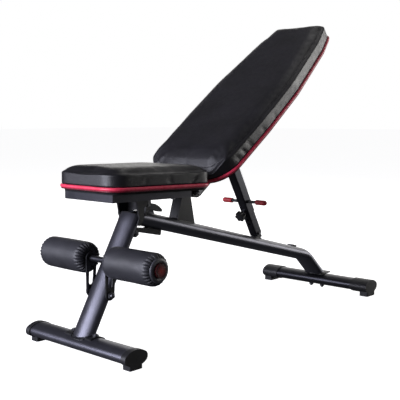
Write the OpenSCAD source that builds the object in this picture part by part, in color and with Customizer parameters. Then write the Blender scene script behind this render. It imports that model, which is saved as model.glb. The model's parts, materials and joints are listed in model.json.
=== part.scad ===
// Adjustable weight bench: sloping spine on two cross feet, folding front leg,
// hinged seat and backrest, telescopic back strut and a pair of leg rollers.
// +X is the bench's right side, +Y points to the head end and +Z is up.

/* [Oval tube] */
// Wide side of the oval frame tube
tube_w = 67; // [58:1:70]
// Narrow side of the oval frame tube
tube_h = 39; // [34:1:42]
// Wall of the oval frame tube
tube_wall = 2.5; // [1.5:0.5:4]

/* [Feet] */
// Length of the front foot tube
front_foot_len = 376; // [340:1:420]
// Length of the rear foot tube
rear_foot_len = 414; // [380:1:440]
// Distance from the front foot to the rear foot
foot_span = 1039; // [1030:1:1045]
// Height of the front foot tube's middle above the floor
front_foot_z = 28; // [27:1:30]
// Height of the rear foot tube's middle above the floor
rear_foot_z = 31; // [30:1:34]

/* [Spine] */
// Height at which the spine's middle line would cross the front foot
spine_z = 371.5; // [370:0.5:373]
// Fall of the spine towards the rear, in degrees
spine_fall = 14.5; // [14:0.1:15]
// Fall of the spine behind its bend, in degrees
tail_fall = 42; // [40:1:44]
// Distance from the front foot to the bend
bend_y = 943; // [938:1:948]

/* [Front leg] */
// Lean of the leg from the vertical, in degrees
leg_lean = 29.4; // [29:0.1:30]
// Position of the leg's middle line at the foot
leg_foot_y = -8.5; // [-10:0.5:-7]
// Length of the leg above the foot tube's middle
leg_len = 348; // [342:1:350]

/* [Seat] */
// Width of the seat pad at its front
seat_front_w = 230; // [210:1:250]
// Width of the seat pad at its rear
seat_rear_w = 262; // [240:1:280]
// Front edge of the seat pad
seat_front = 6; // [0:1:10]
// Rear edge of the seat pad
seat_rear = 335; // [328:1:336]
// Thickness of the seat pad
seat_pad_h = 46; // [40:1:50]
// Width of the steel frame under the seat
seat_frame_w = 182; // [170:1:190]
// Fall of the seat towards the rear, in degrees
seat_fall = 1; // [0:0.5:1.5]

/* [Backrest] */
// Angle of the backrest above the horizontal, in degrees
back_angle = 37; // [36:0.5:38]
// Width of the backrest pad at its lower end
back_low_w = 294; // [280:1:300]
// Widest part of the backrest pad
back_w = 304; // [296:1:310]
// Width of the backrest pad at its head
back_head_w = 196; // [190:1:210]
// Distance along the backrest from its pivot to the pad's lower edge
back_low = 22; // [20:1:30]
// Distance along the backrest from its pivot to the pad's head
back_high = 749; // [735:1:755]
// Thickness of the backrest pad
back_pad_h = 54; // [48:1:56]

/* [Strut] */
// Outer size of the sliding square sleeve
sleeve_size = 30.5; // [30:0.5:32]
// Outer size of the fixed square tube
post_size = 27.5; // [26:0.5:27.5]

/* [Rollers] */
// Diameter of the foam rollers
roller_d = 81; // [74:1:84]
// Length of each foam roller
roller_len = 167; // [150:1:175]
// Diameter of the roller axle
axle_d = 16; // [14:1:18]

/* [Hidden] */

$fn = 64;
soft_fn = 32;
steel = [0.24, 0.24, 0.27];
dark_steel = [0.15, 0.15, 0.16];
black_plastic = [0.09, 0.09, 0.10];
black_leather = [0.08, 0.08, 0.09];
bolt_grey = [0.55, 0.55, 0.57];
grip_red = [0.72, 0.08, 0.10];
board_black = [0.07, 0.07, 0.08];

// Clearance of pieces that turn or slide on each other
run = 0.05;
// Clearance that keeps separate pieces from touching
gap = 0.5;
// Overlength of a cutting shape
over = 1;
// How far a welded piece reaches into the tube it is cut to
weld_in = 0.01;

// Spine: height of the middle line at a place y
function spine_mid(y) = spine_z - y * tan(spine_fall);
// Spine: height of the top face at a place y
function spine_top(y) = spine_mid(y) + tube_h / 2 / cos(spine_fall);

// Main pivot, which the seat and the backrest share
pivot_y = 357;
pivot_z = 389;
main_axle_d = 16;
axle_half = 70;
pivot_sleeve_half = 30;
board_h = 11;

// Screws that hold the boards, and how far they reach into them
screw_d = 6;
screw_in = 8;

// Seat: tube size, the rails' underside and what stands on it, before the seat's fall
seat_rail = 20;
seat_rail_z = 374.5;
seat_board_z = seat_rail_z + seat_rail;
seat_pad_z = seat_board_z + board_h;
seat_rail_x = seat_frame_w / 2 - seat_rail / 2;
seat_frame_rear = 298;
seat_lug_t = 5;
seat_screw_at = [[-seat_rail_x, 238], [seat_rail_x, 238], [-56, 168], [56, 168]];

// Backrest: tube size and heights above the line through the pivot
back_rail = 20;
back_rail_x = 46;
back_rail_n = -13;
board_n = back_rail_n + back_rail / 2;
back_pad_n = board_n + board_h;

// Welts round the pads: reach out of and into the outline, drop below the pad and height
welt_out = 2;
welt_in = 3;
welt_down = 3;
welt_h = 9;

// Fold hinge of the front leg
fold_y = 167;
fold_z = 284;
fold_bolt_d = 8;
lug_w = 16;
lug_r = 7;
ear_t = 5;
ear_r = 10;

// Cheeks beside the leg's head
cheek_x = tube_w / 2 + 1;
cheek_t = 5;
bridge_top = 377;

// Strut: a point on its middle line, its lean and its stations above that point
strut_y = 683;
strut_z = 240;
strut_lean = 28.9;
inner_low = -17.5;
inner_high = 192;
foot_bolt_s = -13;
sleeve_low = 64;
sleeve_high = 297;
top_pin_s = 285;
top_pin_d = 12;
grip_s = 104;
adjust_s = 74;
adjust_pitch = 15.5;
adjust_pin_d = 8;
knob_n = sleeve_size / 2 + 14;
knob_bore = 10;

// Roller axle
axle_y = 59;
axle_z = 228;
roller_in = 41;
roller_axle_half = roller_in + roller_len + 6;
core_d = 26;
arm_x = tube_w / 2 + 1.5;
arm_t = 4;
arm_foot_z = 143;

// Bolt stations of the two feet
rear_bolt_x = 22;
rear_bolt_y = foot_span - 3;
rear_nut_h = 3;
front_bolt_x = 42;
front_bolt_y = 5;
saddle_half = 49;
saddle_t = 3;
foot_bolt_d = 8;

// Spine: its run before the bend and behind it
bend_r = 80;
bend_turn = tail_fall - spine_fall;
bend_set = bend_r * tan(bend_turn / 2);
bend_mid_z = spine_mid(bend_y);
flange_t = 4;
beam_front = 160;
beam_run = (bend_y - beam_front) / cos(spine_fall) - bend_set;
tail_run = (bend_mid_z - rear_foot_z - tube_h / 2 - flange_t) / sin(tail_fall) - bend_set;

// Corner radius at the oval tube's narrow sides
tube_r = tube_h / 3;

// Station and offset of the fold bolt from the leg's middle line
ear_s = (fold_y - leg_foot_y) * sin(leg_lean) + (fold_z - front_foot_z) * cos(leg_lean);
ear_off = (fold_y - leg_foot_y) * cos(leg_lean) - (fold_z - front_foot_z) * sin(leg_lean);

// Lock pin that holds the leg unfolded
fold_pin_y = 176;
fold_pin_z = 334;

// Seat lever: its pin, its cross stud and the toothed sector
lever_y = 200;
lever_z = 358;
lever_pin_d = 6;
lever_ear_x = 15.5;
lever_ear_t = 4;
spring_x = lever_ear_x + lever_ear_t + 0.2;
spring_len = 10;
stud_y = 211;
stud_z = 347;
sector_r = 148;
sector_t = 6;
sector_low = 30;
seat_bar_front = 21.5;
seat_bar_mid = 150;

// Backrest frame and the strut's slotted hanger
back_rail_high = 610;
back_bars = [160, 276, 560];
back_bar_w = 25;
back_screw_s = [80, 330, 590];
hanger_s = 218;
hanger_n = -33;
hanger_slot = 22;
hanger_slot_w = 17;
hanger_t = 4;

// Grip bar across the sleeve
grip_half = 74;
grip_d = 9;
tip_d = 15.5;
tip_len = 27;

// Leg: place of the middle line at a height z
function leg_mid_y(z) = leg_foot_y + (z - front_foot_z) * tan(leg_lean);
// Spine: height of the underside at a place y
function spine_low(y) = spine_mid(y) - tube_h / 2 / cos(spine_fall);

// Sets the origin on the floor at the middle of the bench
module placed() {
  translate([0, -foot_span / 2, 0]) children();
}

// Oval outline of four arcs that meet without a corner
module oval(w, h, r) {
  c = w / 2 - r;
  q = h / 2 - r;
  k = (c * c - q * q) / (2 * q);
  big = k + h / 2;
  joint = c * big / (big - r);
  intersection() {
    translate([0, -k]) circle(big, $fn = 180);
    translate([0, k]) circle(big, $fn = 180);
    square([2 * joint, 2 * h], center = true);
  }
  for (side = [-1, 1]) translate([side * c, 0]) circle(r);
}

module oval_tube_outline(w = tube_w, h = tube_h, wall = tube_wall) {
  difference() {
    oval(w, h, tube_r);
    oval(w - 2 * wall, h - 2 * wall, tube_r - wall);
  }
}

module round_square(w, h, r) {
  square([w - 2 * r, h], center = true);
  square([w, h - 2 * r], center = true);
  for (x = [-1, 1], y = [-1, 1]) translate([x * (w / 2 - r), y * (h / 2 - r)]) circle(r);
}

module square_tube_outline(size, wall, r) {
  difference() {
    round_square(size, size, r);
    round_square(size - 2 * wall, size - 2 * wall, max(r - wall, 0.5));
  }
}

// A rod along X through (y, z), from x0 to x1
module rod_x(y, z, d, x0, x1) {
  translate([x0, y, z]) rotate([0, 90, 0]) cylinder(h = x1 - x0, d = d);
}

// A plate of thickness t in the YZ plane, from x up
module plate_yz(x, t) {
  translate([x, 0, 0]) rotate([90, 0, 90]) linear_extrude(t) children();
}

// A rectangle from its lower corner
module square_at(y, z, len, h) {
  translate([y, z]) square([len, h]);
}

// A hexagon head or nut along X, from x0 to x1
module hex_x(y, z, flats, x0, x1) {
  translate([x0, y, z]) rotate([0, 90, 0]) cylinder(h = x1 - x0, d = flats / cos(30), $fn = 6);
}

// Local axes on the spine at y: +Y runs down the spine and +Z stands on it
module on_spine(y) {
  translate([0, y, spine_mid(y)]) rotate([-spine_fall, 0, 0]) children();
}

// Local axes on the leg's middle line: +Z runs up the leg and +Y is behind it
module on_leg() {
  translate([0, leg_foot_y, front_foot_z]) rotate([-leg_lean, 0, 0]) children();
}

// The seat's small fall about the main pivot
module on_seat() {
  translate([0, pivot_y, pivot_z]) rotate([-seat_fall, 0, 0]) translate([0, -pivot_y, -pivot_z]) children();
}

// Local axes on the backrest: +Y runs up the backrest and +Z stands on it
module on_back() {
  translate([0, pivot_y, pivot_z]) rotate([back_angle, 0, 0]) children();
}

// Local axes on the strut: +Z runs up the strut and -Y is in front of it
module on_strut() {
  translate([0, strut_y, strut_z]) rotate([strut_lean, 0, 0]) children();
}

// Solid sweep along the spine; the bend is a hair fuller and the straight runs end inside it
module main_beam_path(w, h, r, more = 0) {
  lap = 1;
  swell = 0.05;
  on_spine(beam_front) {
    translate([0, -more, 0]) rotate([-90, 0, 0]) linear_extrude(beam_run + more + lap) oval(w, h, r);
    translate([0, beam_run, -bend_r]) rotate([0, -90, 0])
      rotate_extrude(angle = bend_turn, $fn = 120)
      translate([bend_r, 0]) rotate(90) oval(w + 2 * swell, h + 2 * swell, r + swell);
    translate([0, beam_run + bend_r * sin(bend_turn), -bend_r * (1 - cos(bend_turn))])
      rotate([-bend_turn, 0, 0]) translate([0, -lap, 0]) rotate([-90, 0, 0])
      linear_extrude(tail_run + tube_h) oval(w, h, r);
  }
}

// Cuts what is welded on the spine to the tube's shape
module spine_cut() {
  on_spine(beam_front) rotate([-90, 0, 0]) linear_extrude(beam_run)
    oval(tube_w - weld_in, tube_h - weld_in, tube_r - weld_in / 2);
}

module main_beam() {
  slot_y = 212;
  slot_len = 42;
  slot_w = 12;
  color(steel) placed() difference() {
    main_beam_path(tube_w, tube_h, tube_r);
    main_beam_path(tube_w - 2 * tube_wall, tube_h - 2 * tube_wall, tube_r - tube_wall, over);
    // cut to the rear flange
    translate([-tube_w, foot_span - 2 * tube_w, -2 * tube_h])
      cube([2 * tube_w, 4 * tube_w, 2 * tube_h + rear_foot_z + tube_h / 2 + flange_t]);
    // coped round the leg's head
    on_leg() linear_extrude(leg_len + 60) oval(tube_w + 2, tube_h + 2, tube_r + 1);
    on_leg() translate([-tube_w, -tube_w, 0]) cube([2 * tube_w, tube_w, leg_len + 60]);
    // slot for the seat sector
    translate([-slot_w / 2, slot_y, spine_mid(slot_y)]) cube([slot_w, slot_len, tube_h]);
    // room for the nuts on the rear flange
    for (x = [-rear_bolt_x, rear_bolt_x]) translate([x, rear_bolt_y, rear_foot_z])
      cylinder(h = tube_h / 2 + flange_t + rear_nut_h + gap, d = 16);
  }
}

module right_cheek_outline() {
  polygon([
    [146, bridge_top], [190, bridge_top], [188, 363], [174, 352],
    [174, 322], [158, 307], [150, 310], [157, 325], [149, 364]
  ]);
}

module left_cheek_outline() {
  difference() {
    polygon([
      [146, bridge_top], [212, bridge_top], [212, 342], [192, 331],
      [186, 322], [158, 307], [150, 310], [157, 325], [149, 364]
    ]);
    translate([lever_y, lever_z]) circle(d = lever_pin_d);
  }
}

module hinge_cheeks() {
  web_y = 184;
  web_t = 3.5;
  web_low = 330;
  web_len = 2 * (cheek_x + over);
  color(dark_steel) placed() difference() {
    union() {
      plate_yz(cheek_x, cheek_t) right_cheek_outline();
      plate_yz(-cheek_x - cheek_t, cheek_t) left_cheek_outline();
      // weld pads to the spine's sides
      for (x = [-cheek_x, cheek_x - 3]) plate_yz(x, 3) square_at(170, 319, 4, 8);
      // top plate, the web behind the leg's head and the ear for the lever's pin
      translate([-cheek_x - over, 148, bridge_top - 4]) cube([web_len, web_y + web_t - 148, 4]);
      translate([-cheek_x - over, web_y, web_low]) cube([web_len, web_t, bridge_top - web_low]);
      plate_yz(lever_ear_x, lever_ear_t) square_at(web_y, 350, lever_y - web_y, 15);
      rod_x(lever_y, lever_z - 0.5, 15, lever_ear_x, lever_ear_x + lever_ear_t);
    }
    spine_cut();
    rod_x(lever_y, lever_z, lever_pin_d, 0, spring_x);
    rod_x(fold_pin_y, fold_pin_z, adjust_pin_d + 2 * run, -cheek_x - cheek_t - over, -cheek_x + over);
  }
}

module fold_lug() {
  end_y = 265;
  weld_y = 222;
  color(dark_steel) placed() difference() {
    union() {
      rod_x(fold_y, fold_z, 2 * lug_r, -lug_w / 2, lug_w / 2);
      plate_yz(-lug_w / 2, lug_w) polygon([
        [fold_y, fold_z + lug_r], [177, 298], [213, 293], [weld_y, spine_low(weld_y) + 1],
        [end_y, spine_low(end_y) + 1], [end_y + 2, 280], [end_y, 270], [end_y - 4, 268.5],
        [184, 285], [fold_y + 3, fold_z - lug_r + 1]
      ]);
    }
    spine_cut();
    rod_x(fold_y, fold_z, fold_bolt_d + 2 * run, -lug_w, lug_w);
  }
}

module fold_bolt() {
  x0 = lug_w / 2 + ear_t + 0.8;
  head_h = 5;
  color(bolt_grey) placed() {
    rod_x(fold_y, fold_z, fold_bolt_d, -x0 - head_h - 1, x0 + head_h + 1);
    hex_x(fold_y, fold_z, 13, x0, x0 + head_h);
    hex_x(fold_y, fold_z, 13, -x0 - head_h, -x0);
  }
}

module fold_ears() {
  inner = lug_w / 2 + 0.4;
  start = tube_h / 2 - 0.6;
  neck = 2 * (ear_r - over);
  color(dark_steel) placed() for (x = [inner, -inner - ear_t]) plate_yz(x, ear_t) difference() {
    union() {
      translate([fold_y, fold_z]) circle(ear_r);
      translate([leg_foot_y, front_foot_z]) rotate(-leg_lean)
        square_at(start, ear_s - neck / 2, ear_off - start - fold_bolt_d, neck);
    }
    // clear of the leg's tube
    translate([leg_foot_y, front_foot_z]) rotate(-leg_lean) square_at(0, ear_s - 2 * ear_r, start, 4 * ear_r);
    translate([fold_y, fold_z]) circle(d = fold_bolt_d + 2 * run);
  }
}

module foot_tube(y, z, len, bolt_x, bolt_y) {
  difference() {
    translate([-len / 2, y, z]) rotate([90, 0, 90]) linear_extrude(len) oval_tube_outline();
    for (x = [-bolt_x, bolt_x]) translate([x, bolt_y, 0]) cylinder(h = 3 * z, d = foot_bolt_d);
  }
}

// Sleeve cap with a pad under it; side is -1 or 1
module foot_cap(y, z, tube_len, sleeve, cap_h, pad_len, pad_w, side) {
  cap_w = tube_w + 6;
  end_x = tube_len / 2 + 5;
  mirror([side > 0 ? 0 : 1, 0, 0]) translate([0, y, 0]) difference() {
    union() {
      translate([end_x - sleeve, 0, z]) rotate([90, 0, 90])
        linear_extrude(sleeve) oval(cap_w, cap_h, cap_h / 3);
      translate([end_x - pad_len / 2, 0, 0])
        linear_extrude(z - tube_h / 2 + 4) round_square(pad_len, pad_w, 4);
    }
    translate([0, 0, z]) rotate([90, 0, 90]) linear_extrude(tube_len / 2) oval(tube_w, tube_h, tube_r);
  }
}

module rear_flange() {
  mid_z = rear_foot_z + (tube_h + flange_t) / 2;
  color(dark_steel) placed() difference() {
    translate([0, foot_span, mid_z]) cube([66, 62, flange_t], center = true);
    for (x = [-rear_bolt_x, rear_bolt_x])
      translate([x, rear_bolt_y, rear_foot_z]) cylinder(h = tube_h, d = foot_bolt_d);
  }
}

module rear_foot_tube() {
  color(steel) placed() foot_tube(foot_span, rear_foot_z, rear_foot_len, rear_bolt_x, rear_bolt_y);
}

module rear_foot_caps() {
  color(black_plastic) placed() for (side = [-1, 1])
    foot_cap(foot_span, rear_foot_z, rear_foot_len, 62, tube_h + 5, 31, 48, side);
}

module foot_bolts(y, xs, low, top, nut_h, tip) {
  for (x = xs) translate([x, y, 0]) {
    translate([0, 0, low]) cylinder(h = top - low + nut_h + tip, d = foot_bolt_d);
    translate([0, 0, low - 4]) cylinder(h = 4, d = 15);
    translate([0, 0, top]) cylinder(h = nut_h, d = 13 / cos(30), $fn = 6);
  }
}

module rear_foot_bolts() {
  low = rear_foot_z - tube_h / 2;
  top = rear_foot_z + tube_h / 2 + flange_t;
  color(bolt_grey) placed() {
    foot_bolts(rear_bolt_y, [-rear_bolt_x, rear_bolt_x], low, top, rear_nut_h, 0);
    for (x = [-rear_bolt_x, rear_bolt_x]) translate([x, rear_bolt_y, low - 4]) sphere(d = 11);
  }
}

module pivot_post() {
  post_w = 34;
  wall = 4;
  top = pivot_z - 6;
  color(dark_steel) placed() difference() {
    plate_yz(-post_w / 2, post_w) polygon([
      [344, top], [371, top], [391, spine_top(391) - 3], [321, spine_top(321) - 3]
    ]);
    plate_yz(-post_w / 2 + wall, post_w - 2 * wall) polygon([
      [349, pivot_z], [366, pivot_z], [384, spine_mid(384)], [328, spine_mid(328)]
    ]);
    rod_x(pivot_y, pivot_z, 28, -post_w, post_w);
    spine_cut();
  }
}

module pivot_sleeve() {
  color(dark_steel) placed() difference() {
    rod_x(pivot_y, pivot_z, 28, -pivot_sleeve_half, pivot_sleeve_half);
    rod_x(pivot_y, pivot_z, main_axle_d, -50, 50);
  }
}

module main_axle() {
  color(bolt_grey) placed() rod_x(pivot_y, pivot_z, main_axle_d, -axle_half, axle_half);
}

module axle_nuts() {
  color(bolt_grey) placed() for (side = [-1, 1]) mirror([side > 0 ? 0 : 1, 0, 0]) difference() {
    x0 = back_rail_x + back_rail / 2 + 0.5;
    union() {
      rod_x(pivot_y, pivot_z, 30, x0, x0 + 2);
      hex_x(pivot_y, pivot_z, 24, x0 + 2, x0 + 10);
    }
    rod_x(pivot_y, pivot_z, main_axle_d, x0 - over, x0 + 10 + over);
  }
}

module strut_foot_bracket() {
  color(dark_steel) placed() difference() {
    union() {
      on_strut() for (x = [-10, 7]) translate([x, -11, inner_low - 16]) cube([3, 22, 27]);
      on_spine(strut_y + 6) translate([-10, -14, tube_h / 2 - 1]) cube([20, 28, 3]);
    }
    spine_cut();
    on_strut() rod_x(0, foot_bolt_s, 8, -20, 20);
  }
}

module strut_foot_bolt() {
  x0 = post_size / 2;
  color(bolt_grey) placed() on_strut() {
    rod_x(0, foot_bolt_s, 8, -x0 - 3, x0 + 3);
    rod_x(0, foot_bolt_s, 10, x0, x0 + 4);
    rod_x(0, foot_bolt_s, 10, -x0 - 4, -x0);
  }
}

module strut_inner_tube() {
  color(steel) placed() on_strut() difference() {
    translate([0, 0, inner_low]) linear_extrude(inner_high - inner_low)
      square_tube_outline(post_size, 2, 3);
    rod_x(0, foot_bolt_s, 8, -post_size, post_size);
    // rack of holes for the adjusting pin
    for (k = [-3 : 5])
      translate([0, 0, adjust_s + k * adjust_pitch]) rotate([90, 0, 0])
        cylinder(h = post_size, d = adjust_pin_d + 0.6);
  }
}

module beam_hook() {
  color(dark_steel) placed() on_spine(880) difference() {
    translate([-10, -12, tube_h / 2 - 1.5]) cube([20, 24, 6]);
    translate([-over - 10, 2, tube_h / 2 + 4]) rotate([0, 90, 0]) cylinder(h = 20 + 2 * over, d = 9);
    translate([0, -60, 0]) rotate([-90, 0, 0]) linear_extrude(120)
      oval(tube_w - weld_in, tube_h - weld_in, tube_r - weld_in / 2);
  }
}

module lever_pin() {
  x0 = -cheek_x - cheek_t;
  x1 = spring_x + spring_len + 0.2;
  color(bolt_grey) placed() {
    rod_x(lever_y, lever_z, lever_pin_d, x0 - 2, x1 + 2);
    rod_x(lever_y, lever_z, 10, x0 - 2, x0);
    rod_x(lever_y, lever_z, 9, x1, x1 + 2);
  }
}

module fold_pin_housing() {
  x0 = -cheek_x - cheek_t;
  color(bolt_grey) placed() difference() {
    rod_x(fold_pin_y, fold_pin_z, 14, x0 - 6, x0);
    rod_x(fold_pin_y, fold_pin_z, adjust_pin_d + 2 * run, x0 - 7, x0 + over);
  }
}

module fold_pin() {
  x0 = -cheek_x - cheek_t;
  color(bolt_grey) placed() rod_x(fold_pin_y, fold_pin_z, adjust_pin_d, x0 - 12, -cheek_x);
}

module fold_knob() {
  x0 = -cheek_x - cheek_t - 7;
  color(black_plastic) placed() difference() {
    rod_x(fold_pin_y, fold_pin_z, 18, x0 - 9, x0);
    rod_x(fold_pin_y, fold_pin_z, adjust_pin_d, x0 - 5, x0 + over);
  }
}

module front_leg() {
  seat_t = 2 * saddle_t - weld_in;
  color(steel) placed() difference() {
    on_leg() translate([0, 0, 10]) linear_extrude(leg_len - 10) oval_tube_outline();
    // cut to the saddle on the front foot
    translate([-tube_w, 0, front_foot_z]) rotate([90, 0, 90])
      linear_extrude(2 * tube_w) oval(tube_w + seat_t, tube_h + seat_t, tube_r + seat_t / 2);
    translate([-tube_w, -2 * tube_w, -tube_w]) cube([2 * tube_w, 4 * tube_w, tube_w + front_foot_z]);
    rod_x(fold_pin_y, fold_pin_z, adjust_pin_d + 0.6, -tube_w, 0);
    rod_x(leg_mid_y(arm_foot_z), arm_foot_z, 10, -tube_w, tube_w);
  }
}

module leg_top_cap() {
  color(black_plastic) placed() on_leg() {
    translate([0, 0, leg_len]) linear_extrude(3) oval(tube_w, tube_h, tube_r);
    translate([0, 0, leg_len - 12]) linear_extrude(12) difference() {
      oval(tube_w - 2 * tube_wall, tube_h - 2 * tube_wall, tube_r - tube_wall);
      oval(tube_w - 2 * tube_wall - 5, tube_h - 2 * tube_wall - 5, tube_r - tube_wall - 2.5);
    }
  }
}

// Curved shell that seats the leg on the foot tube
module front_saddle() {
  color(dark_steel) placed() difference() {
    translate([-saddle_half, 0, front_foot_z]) rotate([90, 0, 90])
      linear_extrude(2 * saddle_half) intersection() {
        difference() {
          oval(tube_w + 2 * saddle_t, tube_h + 2 * saddle_t, tube_r + saddle_t);
          oval(tube_w, tube_h, tube_r);
        }
        square_at(-18, 4, 46, tube_h);
      }
    for (x = [-front_bolt_x, front_bolt_x])
      translate([x, front_bolt_y, front_foot_z]) cylinder(h = tube_h, d = foot_bolt_d);
  }
}

module front_foot_tube() {
  color(steel) placed() foot_tube(0, front_foot_z, front_foot_len, front_bolt_x, front_bolt_y);
}

module front_foot_caps() {
  color(black_plastic) placed() for (side = [-1, 1])
    foot_cap(0, front_foot_z, front_foot_len, 16, tube_h + 2, 28, 40, side);
}

module front_foot_bolts() {
  low = front_foot_z - tube_h / 2;
  top = front_foot_z + tube_h / 2 + saddle_t - 0.1;
  color(bolt_grey) placed() foot_bolts(front_bolt_y, [-front_bolt_x, front_bolt_x], low, top, 3.5, 2);
}

// Slotted arms that carry the roller axle in front of the leg
module arm_outline() {
  low_y = leg_mid_y(arm_foot_z);
  difference() {
    hull() {
      translate([low_y, arm_foot_z]) circle(13.5, $fn = soft_fn);
      translate([axle_y, axle_z]) circle(17, $fn = soft_fn);
    }
    hull() {
      translate([low_y, arm_foot_z + 24]) circle(7, $fn = soft_fn);
      translate([axle_y, axle_z - 26]) circle(8, $fn = soft_fn);
    }
  }
}

module roller_arms() {
  color(dark_steel) placed() for (side = [-1, 1]) difference() {
    plate_yz(side > 0 ? arm_x : -arm_x - arm_t, arm_t) arm_outline();
    rod_x(axle_y, axle_z, axle_d, -tube_w, tube_w);
    rod_x(leg_mid_y(arm_foot_z), arm_foot_z, 10, -tube_w, tube_w);
  }
}

module arm_bolt() {
  y = leg_mid_y(arm_foot_z);
  x0 = arm_x + arm_t;
  color(bolt_grey) placed() {
    rod_x(y, arm_foot_z, 10, -x0 - 4, x0 + 4);
    for (side = [-1, 1]) mirror([side > 0 ? 0 : 1, 0, 0]) {
      hex_x(y, arm_foot_z, 17, x0, x0 + 7);
      translate([x0 + 7, y, arm_foot_z]) sphere(d = 14);
      // spacer between the leg and the arm
      rod_x(y, arm_foot_z, 18, tube_w / 2 - 0.2, arm_x);
    }
  }
}

module roller_axle() {
  color(steel) placed() difference() {
    rod_x(axle_y, axle_z, axle_d, -roller_axle_half, roller_axle_half);
    rod_x(axle_y, axle_z, axle_d - 4, -roller_axle_half - over, roller_axle_half + over);
  }
}

module axle_washers() {
  color(black_plastic) placed() for (side = [-1, 1]) mirror([side > 0 ? 0 : 1, 0, 0]) difference() {
    rod_x(axle_y, axle_z, 28, arm_x + arm_t, roller_in - 0.3);
    rod_x(axle_y, axle_z, axle_d, 0, roller_in);
  }
}

module foam_roller(side) {
  edge = 20;
  mirror([side > 0 ? 0 : 1, 0, 0]) translate([roller_in, axle_y, axle_z]) rotate([0, 90, 0])
    rotate_extrude() difference() {
      union() {
        translate([core_d / 2, 0]) square([roller_d / 2 - edge - core_d / 2, roller_len]);
        translate([core_d / 2, edge]) square([roller_d / 2 - core_d / 2, roller_len - 2 * edge]);
        for (z = [edge, roller_len - edge]) translate([roller_d / 2 - edge, z]) circle(edge);
      }
      translate([-roller_d, -over]) square([roller_d + core_d / 2, roller_len + 2 * over]);
    }
}

module roller_core(side) {
  mirror([side > 0 ? 0 : 1, 0, 0]) difference() {
    rod_x(axle_y, axle_z, core_d, roller_in, roller_in + roller_len - 1);
    rod_x(axle_y, axle_z, axle_d + 2 * run, roller_in - over, roller_in + roller_len);
  }
}

// Round cap that closes the roller's outer end
module roller_cap(side) {
  x0 = roller_in + roller_len;
  mirror([side > 0 ? 0 : 1, 0, 0]) difference() {
    union() {
      rod_x(axle_y, axle_z, 44, x0, x0 + 3);
      rod_x(axle_y, axle_z, 35, x0 + 3, x0 + 9);
    }
    rod_x(axle_y, axle_z, axle_d + 2 * run, x0 - over, x0 + 6.5);
  }
}

module foam_roller_left() { color(black_leather) placed() foam_roller(-1); }
module foam_roller_right() { color(black_leather) placed() foam_roller(1); }
module roller_core_left() { color(black_plastic) placed() roller_core(-1); }
module roller_core_right() { color(black_plastic) placed() roller_core(1); }
module roller_cap_left() { color(grip_red) placed() roller_cap(-1); }
module roller_cap_right() { color(grip_red) placed() roller_cap(1); }

// Shafts of the backrest's screws, which start a little below the rails
module back_screw_shafts(below = 0) {
  for (x = [-back_rail_x, back_rail_x], s = back_screw_s) translate([x, s, board_n - back_rail - below])
    cylinder(h = below + back_rail + screw_in, d = screw_d);
}

module back_rails() {
  boss_r = 22;
  color(dark_steel) placed() on_back() for (x = [-back_rail_x, back_rail_x]) difference() {
    union() {
      translate([x - back_rail / 2, 16, board_n - back_rail])
        cube([back_rail, back_rail_high - 16, back_rail]);
      rod_x(0, 0, 2 * boss_r, x - back_rail / 2, x + back_rail / 2);
      translate([x - back_rail / 2, 0, board_n - back_rail]) cube([back_rail, 20, back_rail]);
    }
    translate([x - back_rail / 2 + 2, boss_r + 4, board_n - back_rail + 2])
      cube([back_rail - 4, back_rail_high, back_rail - 4]);
    rod_x(0, 0, main_axle_d + 2 * run, x - back_rail, x + back_rail);
    back_screw_shafts(over);
    // clear of the board's lower edge
    translate([x - back_rail, 0, board_n]) cube([2 * back_rail, 2 * boss_r, boss_r + over]);
  }
}

module back_crossbars() {
  half = back_rail_x - back_rail / 2;
  color(dark_steel) placed() on_back() for (s = back_bars) translate([0, s, back_rail_n]) difference() {
    cube([2 * half, back_bar_w, back_rail], center = true);
    cube([2 * half + over, back_bar_w - 4, back_rail - 4], center = true);
  }
}

// Flat band between two outlines, the outer one first
module welt_band(more = 0) {
  linear_extrude(welt_h + more) difference() {
    children(0);
    children(1);
  }
}

// Backrest outline, drawn in by inset all round
module back_outline(inset, low_r = 80) {
  mid_r = 100;
  head_r = 22;
  shoulder_r = 121;
  // middle of each corner arc across and along the backrest, and its radius
  corners = [
    [back_low_w / 2 - low_r, back_low + low_r, low_r],
    [back_w / 2 - mid_r, 256, mid_r],
    [back_w / 2 - mid_r - 4, 425, mid_r],
    [0, back_high - shoulder_r, shoulder_r],
    [back_head_w / 2 - head_r, back_high - 4 - head_r, head_r]
  ];
  hull() for (side = [-1, 1], at = corners)
    translate([side * at[0], at[1]]) circle(at[2] - inset, $fn = soft_fn);
}

module back_board() {
  color(board_black) placed() on_back() difference() {
    translate([0, 0, board_n]) linear_extrude(board_h) back_outline(8);
    back_screw_shafts();
  }
}

module back_pad() {
  // height above the board, inset all round, lower edge and lower corner radius of each level
  levels = [
    [0, 3, 25, 80], [8, 3, 25, 80], [15, 0, 26, 70],
    [36, 1, 46, 55], [47, 4, 66, 55], [back_pad_h - 0.5, 14, 94, 55]
  ];
  color(black_leather) placed() on_back() difference() {
    hull() for (level = levels)
      translate([0, 0, back_pad_n + level[0]]) linear_extrude(0.5) intersection() {
        back_outline(level[1], level[3]);
        translate([-back_w, level[2]]) square([2 * back_w, back_high]);
      }
    translate([0, 0, back_pad_n - welt_down]) welt_band(run) {
      back_outline(-welt_out - run);
      back_outline(welt_in + run);
    }
  }
}

// Welt sewn round the pad's lower edge
module back_piping() {
  color(grip_red) placed() on_back() translate([0, 0, back_pad_n - welt_down]) welt_band() {
    back_outline(-welt_out);
    back_outline(welt_in);
  }
}

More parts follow.
